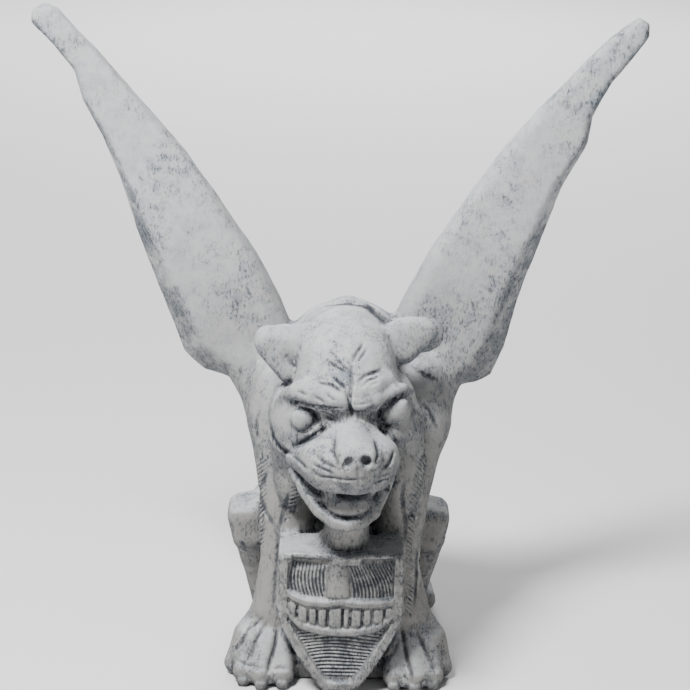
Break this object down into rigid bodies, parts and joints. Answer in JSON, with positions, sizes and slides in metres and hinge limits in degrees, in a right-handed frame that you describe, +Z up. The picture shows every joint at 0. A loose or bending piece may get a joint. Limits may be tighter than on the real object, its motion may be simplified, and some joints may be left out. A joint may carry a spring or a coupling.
{
  "type": "stone gargoyle",
  "caption": "Crouching winged gargoyle cast in stone, wings raised in a V, behind a heater shield with a grinning mask.",
  "frame": {"origin": "on the ground, at the middle of the underside", "axes": "+Z up, -Y the way the beast faces, +X to the viewer's right"},
  "size_m": [0.6523, 0.3929, 0.6848],
  "materials": {
    "cast_stone": "pale weathered cast stone with a blue-grey wash in its hollows"
  },
  "bodies": {
    "root": {"gargoyle": "cast_stone"}
  },
  "joints": []
}
